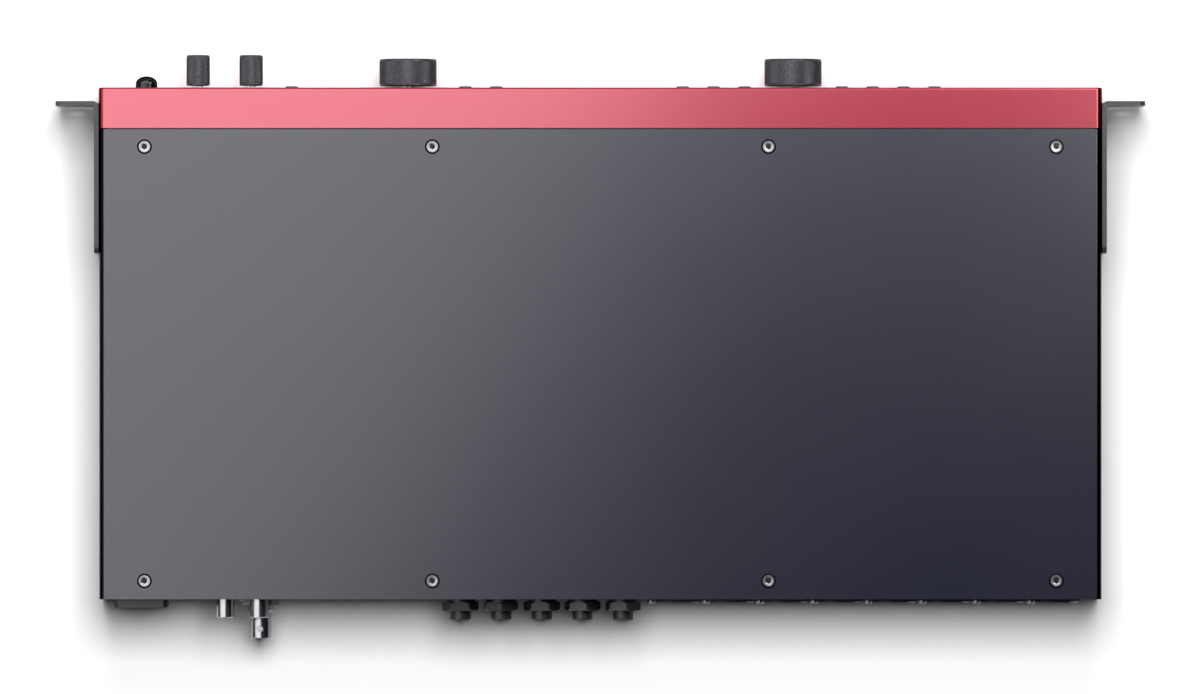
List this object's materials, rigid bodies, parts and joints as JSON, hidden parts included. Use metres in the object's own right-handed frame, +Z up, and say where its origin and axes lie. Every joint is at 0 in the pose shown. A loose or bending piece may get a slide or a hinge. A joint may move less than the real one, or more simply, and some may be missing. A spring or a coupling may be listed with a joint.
{
  "type": "rack audio interface",
  "caption": "One-unit rack audio interface: knurled front knobs, round buttons, rack ears, and rows of rear sockets",
  "frame": {"origin": "on the surface the feet stand on, below the middle of the overall box", "axes": "+X to the right seen from the front, +Y from the front face to the rear connectors, +Z up"},
  "size_m": [0.4826, 0.259, 0.047],
  "materials": {
    "red_anodised": "satin anodised",
    "dark_cover": "satin anodised dark grey",
    "black_steel": "fine black powder coat",
    "plated_steel": "zinc plated",
    "screw_black": "black oxide",
    "chrome_metal": "nickel plated",
    "knob_black": "black anodised, knurled",
    "button_grey": "matt moulded",
    "black_plastic": "moulded",
    "socket_metal": "nickel plated",
    "lens_black": "polished",
    "board_green": "solder mask",
    "foot_rubber": "moulded",
    "heat_sink_black": "black anodised",
    "brass_pins": "nickel plated brass"
  },
  "bodies": {
    "chassis": {"front_fascia": "red_anodised", "front_subpanel": "plated_steel", "display_window": "lens_black", "display_module": "black_plastic", "front_board": "board_green", "tact_switches": "black_plastic", "headphone_pots": "socket_metal", "encoder_bodies": "socket_metal", "instrument_jacks": "black_plastic", "headphone_jacks": "black_plastic", "power_switch": "black_plastic", "top_cover": "dark_cover", "bottom_tray": "black_steel", "rear_panel": "black_steel", "rack_ear_left": "black_steel", "rack_ear_right": "black_steel", "ear_screws": "screw_black", "cover_screws": "screw_black", "rubber_feet": "foot_rubber", "foot_screws": "plated_steel", "mains_inlet": "black_plastic", "inlet_pins": "brass_pins", "rca_sockets": "chrome_metal", "connector_screws": "screw_black", "bnc_socket": "chrome_metal", "bnc_nut_and_washer": "chrome_metal", "optical_sockets": "black_plastic", "midi_sockets": "black_plastic", "usb_socket": "chrome_metal", "line_output_jacks": "black_plastic", "jack_nuts": "black_plastic", "jack_washers": "black_plastic", "combo_sockets": "black_plastic", "main_board": "board_green", "power_supply_board": "board_green", "board_standoffs": "plated_steel", "board_screws": "plated_steel", "board_chips": "black_plastic", "heat_sink": "heat_sink_black", "power_transformer": "black_plastic", "power_capacitors": "black_plastic"},
    "headphone_control_1": {"headphone_knob_1": "knob_black", "headphone_shaft_1": "chrome_metal"},
    "headphone_control_2": {"headphone_knob_2": "knob_black", "headphone_shaft_2": "chrome_metal"},
    "output_control": {"output_knob": "knob_black", "output_shaft": "chrome_metal"},
    "input_control": {"input_knob": "knob_black", "input_shaft": "chrome_metal"},
    "power_cap": {"power_button": "button_grey"},
    "button_cap_01": {"front_button_01": "button_grey"},
    "button_cap_02": {"front_button_02": "button_grey"},
    "button_cap_03": {"front_button_03": "button_grey"},
    "button_cap_04": {"front_button_04": "button_grey"},
    "button_cap_05": {"front_button_05": "button_grey"},
    "button_cap_06": {"front_button_06": "button_grey"},
    "button_cap_07": {"front_button_07": "button_grey"},
    "button_cap_08": {"front_button_08": "button_grey"},
    "button_cap_09": {"front_button_09": "button_grey"},
    "button_cap_10": {"front_button_10": "button_grey"}
  },
  "joints": [
    {"name": "headphone_1_turn", "type": "hinge", "parent": "chassis", "child": "headphone_control_1", "pos_m": [0.1783, -0.1159, 0.0355], "axis": [0, 1, 0], "range_deg": [-150, 150]},
    {"name": "headphone_2_turn", "type": "hinge", "parent": "chassis", "child": "headphone_control_2", "pos_m": [0.1548, -0.1159, 0.0355], "axis": [0, 1, 0], "range_deg": [-150, 150]},
    {"name": "output_turn", "type": "hinge", "parent": "chassis", "child": "output_control", "pos_m": [0.0854, -0.1159, 0.025], "axis": [0, 1, 0], "continuous": true},
    {"name": "input_turn", "type": "hinge", "parent": "chassis", "child": "input_control", "pos_m": [-0.0855, -0.1159, 0.025], "axis": [0, 1, 0], "continuous": true},
    {"name": "power_press", "type": "slide", "parent": "chassis", "child": "power_cap", "axis": [0, 1, 0], "range_m": [0, 0.0025], "stiffness_N_per_m": 400},
    {"name": "button_01_press", "type": "slide", "parent": "chassis", "child": "button_cap_01", "axis": [0, 1, 0], "range_m": [0, 0.0005], "stiffness_N_per_m": 600},
    {"name": "button_02_press", "type": "slide", "parent": "chassis", "child": "button_cap_02", "axis": [0, 1, 0], "range_m": [0, 0.0005], "stiffness_N_per_m": 600},
    {"name": "button_03_press", "type": "slide", "parent": "chassis", "child": "button_cap_03", "axis": [0, 1, 0], "range_m": [0, 0.0005], "stiffness_N_per_m": 600},
    {"name": "button_04_press", "type": "slide", "parent": "chassis", "child": "button_cap_04", "axis": [0, 1, 0], "range_m": [0, 0.0005], "stiffness_N_per_m": 600},
    {"name": "button_05_press", "type": "slide", "parent": "chassis", "child": "button_cap_05", "axis": [0, 1, 0], "range_m": [0, 0.0005], "stiffness_N_per_m": 600},
    {"name": "button_06_press", "type": "slide", "parent": "chassis", "child": "button_cap_06", "axis": [0, 1, 0], "range_m": [0, 0.0005], "stiffness_N_per_m": 600},
    {"name": "button_07_press", "type": "slide", "parent": "chassis", "child": "button_cap_07", "axis": [0, 1, 0], "range_m": [0, 0.0005], "stiffness_N_per_m": 600},
    {"name": "button_08_press", "type": "slide", "parent": "chassis", "child": "button_cap_08", "axis": [0, 1, 0], "range_m": [0, 0.0005], "stiffness_N_per_m": 600},
    {"name": "button_09_press", "type": "slide", "parent": "chassis", "child": "button_cap_09", "axis": [0, 1, 0], "range_m": [0, 0.0005], "stiffness_N_per_m": 600},
    {"name": "button_10_press", "type": "slide", "parent": "chassis", "child": "button_cap_10", "axis": [0, 1, 0], "range_m": [0, 0.0005], "stiffness_N_per_m": 600}
  ]
}
